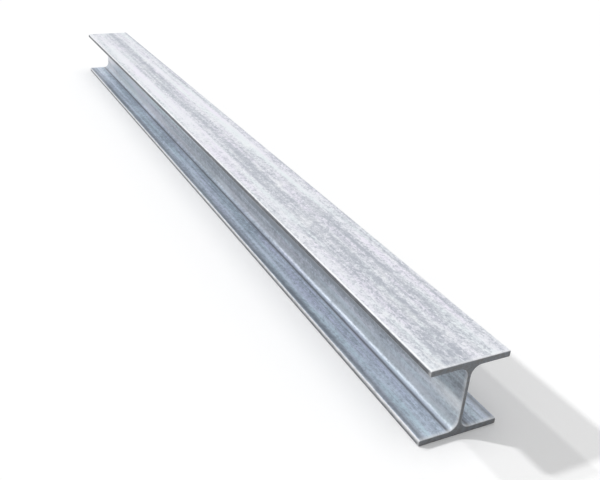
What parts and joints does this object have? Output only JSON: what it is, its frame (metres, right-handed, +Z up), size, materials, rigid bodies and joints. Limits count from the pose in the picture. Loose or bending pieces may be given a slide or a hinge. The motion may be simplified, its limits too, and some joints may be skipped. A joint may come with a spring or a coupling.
{
  "type": "steel i-beam",
  "caption": "Galvanised steel wide-flange I-beam: two flat flanges joined by a thin web with rounded root fillets, sawn square at both ends.",
  "frame": {"origin": "on the underside of the bottom flange, at the middle of the beam's length and width", "axes": "+X along the beam, +Y across the flanges, +Z up through the web from the bottom flange to the top flange"},
  "size_m": [1.5, 0.1, 0.096],
  "materials": {
    "galvanised_steel": "hot-dip galvanised, pale satin grey with a faint mottle"
  },
  "bodies": {
    "root": {"i_beam": "galvanised_steel"}
  },
  "joints": []
}
